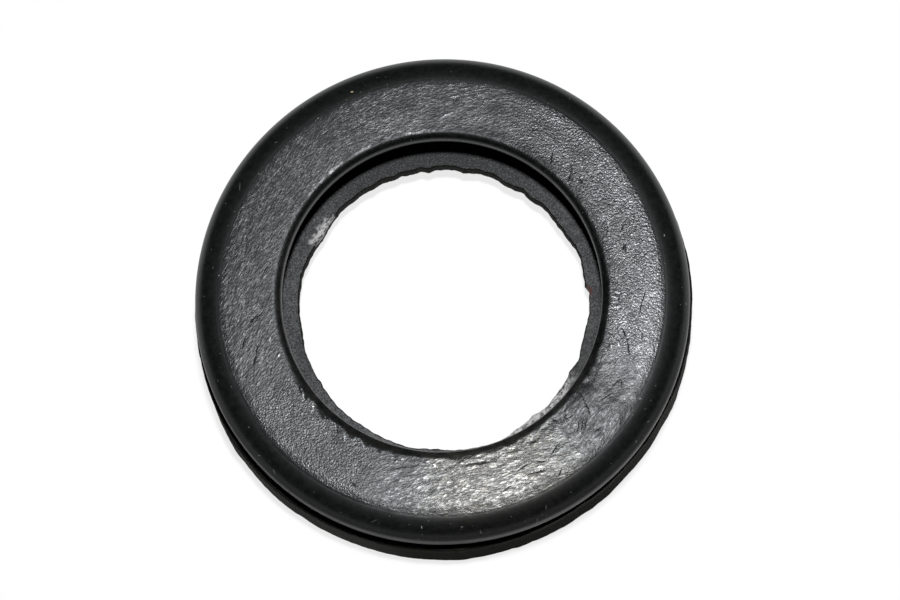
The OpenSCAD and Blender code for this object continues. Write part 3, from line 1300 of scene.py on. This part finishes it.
        # Beside the face, the lip round is painted greyer on its left and lower side.
        greyer_round = GREYER_LIP_ROUND.weight(at.angle) * (0.34 + 0.4 * masks["bold"]) * (0.5 + patches)
        beside_face = on_top & (face <= 0.0) & (at.r < s.bore_r + 2.0)
        masks |= {
            "face": face,
            "relief": np.where(on_top, np.maximum(inner, under_fray) * outer, 0.0),
            "grey_and_glint": np.where(beside_face, greyer_round, grey_and_glint),
            "warm": WARM_GLOSS.weight(at.angle),
        }
        tone = self._face_tone(at, masks["bold"]) + np.interp(at.angle + 4.0 * fray, *zip(*FACE_DULLNESS))
        masks["dull"] = self._dullness(at, face, inner, tone + 0.18 * (patches - 0.5))
        return masks | self._lip_masks(at, fray) | {"scuff_and_lit_edge": self._cut_scuffs_and_lit_edge(at)}

    def _face_edges(self, at: Points, fray: np.ndarray) -> tuple[np.ndarray, np.ndarray]:
        """Finds where the leathery face lies between its two uneven edges.

        Args:
            at: the plain ring's vertices.
            fray: fine noise that frays the edges.

        Returns:
            Two masks: 1 outside its inner edge, and 1 inside its edge at the shoulder.
        """
        s = self.section
        chips = layered_noise(at.co, 2.2, 2, self.seed + 22)
        along, across = turned(at.co[:, 0], at.co[:, 1], self.fibre_heading)
        fibre_places = np.stack([along * 0.3, across, np.full(len(at.r), 0.2)], axis=1)
        fibres = layered_noise(fibre_places, 0.55, 2, self.seed + 70)
        ragged = 0.55 * fray + 0.35 * chips + FRAYED_EDGE.weight(at.angle) * (0.28 + 1.1 * fibres)
        inner_r = s.bore_r + s.lip_round_r + 0.02 + ragged
        toward_back = 0.5 - 0.5 * np.cos(np.radians(at.angle - 82.0))
        outer_r = s.rim_r - s.shoulder_w + 0.65 + 0.70 * toward_back**1.5 + 0.12 * fray
        return smoothstep(-0.05, 0.12, at.r - inner_r), smoothstep(0.22, -0.22, at.r - outer_r)

    def _texture_masks(self, at: Points) -> dict[str, np.ndarray]:
        """How the leathery texture runs, where it is pebbled, and where its folds are bold.

        Args:
            at: the plain ring's vertices.

        Returns:
            One value at each vertex for each mask.
        """
        heading = np.interp(at.angle, *zip(*STREAK_TURNS))
        heading += 9.0 * layered_noise(at.co, 5.0, 2, self.seed + 25)
        pebble = np.maximum(smoothstep(66, 50, at.angle), smoothstep(318, 340, at.angle))
        onward = np.where(at.angle < 180.0, at.angle + 360.0, at.angle)
        return {
            "flow": np.interp(heading, STREAK_HEADINGS, np.arange(len(STREAK_HEADINGS))),
            "pebble": np.maximum(pebble, 0.8 * PEBBLED.weight(at.angle)),
            "bold": BOLD_FOLDS.weight(onward),
        }

    def _face_tone(self, at: Points, bold: np.ndarray) -> np.ndarray:
        """How much duller than its angle's share the face is beside the bore and towards the shoulder.

        Args:
            at: the plain ring's vertices.
            bold: where the folds are bold.

        Returns:
            Shares of the gloss to take away, below 0 where gloss is added.
        """
        beside_bore = smoothstep(22.6, 21.2, at.r)
        outer_half = smoothstep(25.0, 26.2, at.r)
        beside_shoulder = smoothstep(26.6, 27.4, at.r)
        to_right = np.cos(np.radians(at.angle - 15.0))
        tone = 0.42 * beside_bore * smoothstep(0.0, 0.7, to_right)
        tone += 0.25 * outer_half * DULL_OUTER_HALF.weight(at.angle)
        tone -= 0.30 * outer_half * smoothstep(-0.4, 0.6, to_right)
        edge_tone = 0.40 * DULL_SHOULDER_EDGE.weight(at.angle) * smoothstep(28.0, 27.4, at.r)
        edge_tone += 0.12 * bold + 0.24 * SOFT_SHOULDER_EDGE.weight(at.angle)
        return tone + (edge_tone - 0.28 * (1.0 - bold)) * beside_shoulder

    def _dullness(self, at: Points, face: np.ndarray, inner: np.ndarray, tone: np.ndarray) -> np.ndarray:
        """Share of its gloss that each part of the moulded rubber has lost.

        Args:
            at: the plain ring's vertices.
            face: where the leathery face is.
            inner: 1 outside the face's inner edge.
            tone: the share for the face.

        Returns:
            Shares, below 0 where gloss is added.
        """
        s = self.section
        on_top = at.z > s.total_h - 1.0
        wall = smoothstep(s.rim_r - 1.1, s.rim_r - 0.1, at.r) * (at.z > s.parting_z - 0.01)
        low_side = smoothstep(0.25, 0.75, 0.5 - 0.5 * np.cos(np.radians(at.angle - 85.0)))
        dull = np.where(face > 0.0, face * tone, 0.93 * wall * low_side)
        rounding = 0.30 + 0.30 * smoothstep(-0.5, 0.3, np.cos(np.radians(at.angle - 50.0)))
        rounding -= 1.1 * GLOSSY_BORE_EDGE.weight(at.angle)
        rounding += 0.6 * FRAYED_EDGE.weight(at.angle) * smoothstep(s.bore_r + 0.5, s.bore_r + 0.9, at.r)
        dull = np.where(on_top & (at.r < s.bore_r + 2.6), dull * inner + rounding * (1.0 - inner), dull)
        in_bore = (at.r < s.bore_r + 0.1) & (at.z > s.upper_lip_z - 0.1) & ~on_top
        return np.clip(np.where(in_bore, 0.6, dull), -0.5, 1.0)

    def _lip_masks(self, at: Points, fray: np.ndarray) -> dict[str, np.ndarray]:
        """Where the lower lip is torn into pale flakes, partly a painted sheen, how grey it is at each angle,
        and where it is chipped red.

        Args:
            at: the plain ring's vertices.
            fray: fine noise that frays the flakes.

        Returns:
            One value at each vertex for each mask.
        """
        from_edge = at.r - self.section.torn_r
        on_lip = np.isin(at.stretch, (Stretch.LIP_TOP.value, Stretch.TORN_WALL.value))
        tear = np.maximum(TORN_FLAKES.weight(at.angle), 0.06 * FAINT_FLAKES.weight(at.angle))
        tear *= smoothstep(1.3, 0.7, from_edge + 0.5 * layered_noise(at.co, 0.8, 2, self.seed + 40))
        flake = PALE_FLAKE.weight(at.angle + 5.0 * fray) * smoothstep(1.0, 0.65, from_edge + 0.5 * fray)
        torn = np.where(on_lip, np.maximum(tear, flake), 0.0) * smoothstep(4.6, 5.3, at.z + 0.7 * fray)
        chip = np.where(on_lip, RED_CHIP.weight(at.angle), 0.0) * smoothstep(0.45, 0.3, from_edge)
        return {"torn": torn, "chip": chip, "greyness": np.interp(at.angle, *zip(*LIP_GREYNESS))}

    def _cut_scuffs_and_lit_edge(self, at: Points) -> np.ndarray:
        """How scuffed the cuts are, and where the flange's top edge is painted light.

        Args:
            at: the plain ring's vertices.

        Returns:
            Values up to 1.8 on the cuts, and up to 2 on the flange's top edge, a painted highlight strongest on
            the lower right.
        """
        s = self.section
        scuff_and_lit_edge = 1.0 - 0.75 * CLEAN_CUT.weight(at.angle) + 0.8 * ROUGH_CUT.weight(at.angle)
        # Painted highlight: the flange's top edge is painted light, standing in for the lit edge that the rim
        # shades.
        lit_top_edge = smoothstep(s.flange_h - 0.9, s.flange_h - 0.5, at.z) * (at.r > s.core_r)
        return np.maximum(scuff_and_lit_edge, (1.0 + PAINTED_LIT_EDGE.weight(at.angle)) * lit_top_edge)

    def _cut_edges(self, at: Points) -> np.ndarray:
        """Radii after the bore is torn and the flange is trimmed.

        Args:
            at: the plain ring's vertices.

        Returns:
            The new radius of each vertex.
        """
        s = self.section
        jag = layered_noise(at.co * np.array([1.0, 1.0, 0.6]), 0.5, 3, self.seed + 50)
        shift = self.torn_bore.reach(at.angle) + self.torn_teeth * jag - s.torn_r
        inner = (at.z < s.lower_lip_z + 0.01) & (at.z > s.recess_h - 0.01) & (at.r < s.bore_r)
        new_r = np.where(inner, at.r + shift * smoothstep(s.torn_r + 1.6, s.torn_r, at.r), at.r)

        on_bead = (at.r < s.bore_r) & (at.z > s.upper_lip_z - 0.01)
        new_r = np.where(on_bead, at.r + (s.bore_r - at.r) * NO_BEAD.weight(at.angle), new_r)

        notch = layered_noise(at.co * np.array([1.0, 1.0, 0.3]), 0.9, 3, self.seed + 60)
        shift = self.flange.reach(at.angle) - self.flange_teeth * notch - s.flange_r
        outer = (at.z < s.flange_h + 0.01) & (at.r > s.core_r + 0.01)
        return np.where(outer, at.r + shift * smoothstep(s.core_r, s.flange_r - 0.3, at.r), new_r)

    def _crown(self, r: np.ndarray) -> np.ndarray:
        """How far the worn sealing face falls away on each side of its middle.

        Args:
            r: radii.

        Returns:
            Depths in millimetres.
        """
        s = self.section
        inner, outer = s.bore_r + s.lip_round_r, s.rim_r - s.shoulder_w + self.crown_overlap
        depth = (np.clip(r, inner, outer) - self.crown_middle_r) ** 2 / (2 * self.crown_bend_r)
        return depth * smoothstep(s.rim_r, outer, r) * smoothstep(s.bore_r, inner, r)

    def _face_relief(self, at: Points, masks: dict[str, np.ndarray]) -> np.ndarray:
        """How deep each vertex is pressed below the moulded surface.

        Args:
            at: the plain ring's vertices.
            masks: the masks made so far.

        Returns:
            Depths in millimetres, never negative.
        """
        x, y = at.co[:, 0], at.co[:, 1]
        swell = layered_noise(at.co, 4.0, 2, self.seed + 3)
        lively = masks["bold"] * (1.0 + 2.0 * smoothstep(0.9, 0.2, np.abs(at.r - 21.6)))
        height = 0.014 * (1.0 - 0.7 * masks["pebble"]) + 0.044 * lively * (1.0 - 0.5 * masks["pebble"])
        depth = 0.03 + 0.012 * swell + height * self._crinkle(x, y, masks["flow"])
        chips = 0.5 + 0.5 * layered_noise(at.co, 1.3, 3, self.seed + 8)
        facing_low = 0.5 + 0.5 * np.cos(np.arctan2(y, x) + math.radians(75.0))
        low_edge = 0.12 + 0.88 * smoothstep(0.35, 0.85, facing_low)
        depth += 0.20 * low_edge * smoothstep(1.15, 0.1, at.r - self.section.bore_r + 1.1 * (0.5 - chips))
        for crease in CREASES:
            along, across = crease.run(x, y)
            far = np.hypot(along / (0.6 * crease.length()), across / (crease.width + self.mesh_step))
            depth += 0.9 * crease.depth * smoothstep(1.0, 0.0, far)
        return np.clip(depth, 0.0, self.deepest) * masks["relief"]

    def _crinkle(self, x: np.ndarray, y: np.ndarray, flow: np.ndarray) -> np.ndarray:
        """Crinkles that run along the streaks.

        Args:
            x: places across.
            y: places away.
            flow: which of the streaks' headings each place follows.

        Returns:
            Heights from 0 to 1.
        """
        crinkle = np.zeros(len(x))
        for step, heading in enumerate(STREAK_HEADINGS):
            along, across = turned(x, y, heading)
            places = np.stack([along * 0.4, across, np.full(len(x), 0.37)], axis=1)
            weight = np.clip(1.0 - np.abs(flow - step), 0.0, 1.0)
            crinkle += weight * np.abs(layered_noise(places, 1.1, 2, self.seed + 1 + step))
        return crinkle


# ---------------------------------------------------------------------------------------------
# Studio
# ---------------------------------------------------------------------------------------------


@dataclass(frozen=True)
class Lamp:
    """A square soft lamp that looks at the ring."""

    name: str
    place: Triple
    side: float
    watts: float
    colour: Triple = (1.0, 1.0, 1.0)

    def make(self) -> bpy.types.Object:
        """Adds the lamp.

        Returns:
            The lamp's object.
        """
        data = bpy.data.lights.new(self.name, "AREA")
        data.shape = "SQUARE"
        data.size = self.side
        data.energy = self.watts
        data.color = self.colour
        lamp = bpy.data.objects.new(self.name, data)
        bpy.context.scene.collection.objects.link(lamp)
        lamp.location = self.place
        lamp.rotation_euler = (-Vector(self.place)).to_track_quat("-Z", "Y").to_euler()
        return lamp


@dataclass(frozen=True)
class Studio:
    """White table, a small soft lamp and the camera that looks down at the ring."""

    flash: Lamp = Lamp("flash", (0.027, 0.012, 0.610), 0.045, 4.0)
    world_level: float = 0.008
    table_size: float = 0.30
    table_drop: float = 0.01
    tilt_deg: float = 13.2
    roll_deg: float = 9.4
    distance: float = 0.6
    px_per_mm: float = 8.027
    frame_px: tuple[int, int] = (900, 600)
    face_centre_px: Pair = (441.19, 292.85)
    face_z: float = 13.4
    sensor_mm: float = 36.0

    def build(self) -> None:
        """Lays the table, hangs the lamp and places the camera."""
        self._table()
        self.flash.make()
        self._world()
        self._camera()
        bpy.context.scene.view_settings.view_transform = "Standard"

    def _table(self) -> None:
        """Adds the white table just under the ring."""
        deselect_all()
        bpy.ops.mesh.primitive_plane_add(size=self.table_size, location=(0.0, 0.0, -self.table_drop * MM))
        table = bpy.context.object
        table.name = table.data.name = "table"
        table.data.materials.append(FloorFinish().make())

    def _world(self) -> None:
        """Dim even light from all round; the camera sees plain white behind the table."""
        world = bpy.data.worlds.new("studio")
        bpy.context.scene.world = world
        world.use_nodes = True
        tree = world.node_tree
        tree.nodes.clear()
        path = tree.nodes.new("ShaderNodeLightPath")
        level = tree.nodes.new("ShaderNodeMapRange")
        level.inputs["To Min"].default_value = self.world_level
        level.inputs["To Max"].default_value = 1.0
        back = tree.nodes.new("ShaderNodeBackground")
        out = tree.nodes.new("ShaderNodeOutputWorld")
        tree.links.new(path.outputs["Is Camera Ray"], level.inputs["Value"])
        tree.links.new(level.outputs["Result"], back.inputs["Strength"])
        tree.links.new(back.outputs[0], out.inputs["Surface"])

    def _camera(self) -> None:
        """Places the camera so that the face's centre falls on its place in the frame."""
        tilt, roll = math.radians(self.tilt_deg), math.radians(self.roll_deg)
        forward = Vector((0.0, math.sin(tilt), -math.cos(tilt)))
        level_right = Vector((1.0, 0.0, 0.0))
        level_up = level_right.cross(forward)
        right = level_right * math.cos(roll) - level_up * math.sin(roll)
        up = level_up * math.cos(roll) + level_right * math.sin(roll)
        off_x = (self.face_centre_px[0] - self.frame_px[0] / 2) / self.px_per_mm * MM
        off_y = (self.frame_px[1] / 2 - self.face_centre_px[1]) / self.px_per_mm * MM
        centre = Vector((0.0, 0.0, self.face_z * MM))
        data = bpy.data.cameras.new("camera")
        data.sensor_width = self.sensor_mm
        data.lens = self.px_per_mm * self.distance / MM * self.sensor_mm / self.frame_px[0]
        data.clip_start = 0.01
        camera = bpy.data.objects.new("camera", data)
        bpy.context.scene.collection.objects.link(camera)
        camera.matrix_world = Matrix((right, up, -forward)).transposed().to_4x4()
        camera.location = centre - forward * self.distance - right * off_x - up * off_y
        bpy.context.scene.camera = camera


def main() -> None:
    """Builds the studio and the ring, and reports each."""
    logging.basicConfig(level=logging.INFO, format="%(name)s: %(message)s")
    Studio().build()
    log.info("studio ready")
    ring = Gasket().build()
    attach(ring, BODY)
    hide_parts(NODE)
    log.info("%s: %d faces", ring.name, len(ring.data.polygons))


if __name__ == "__main__":
    main()
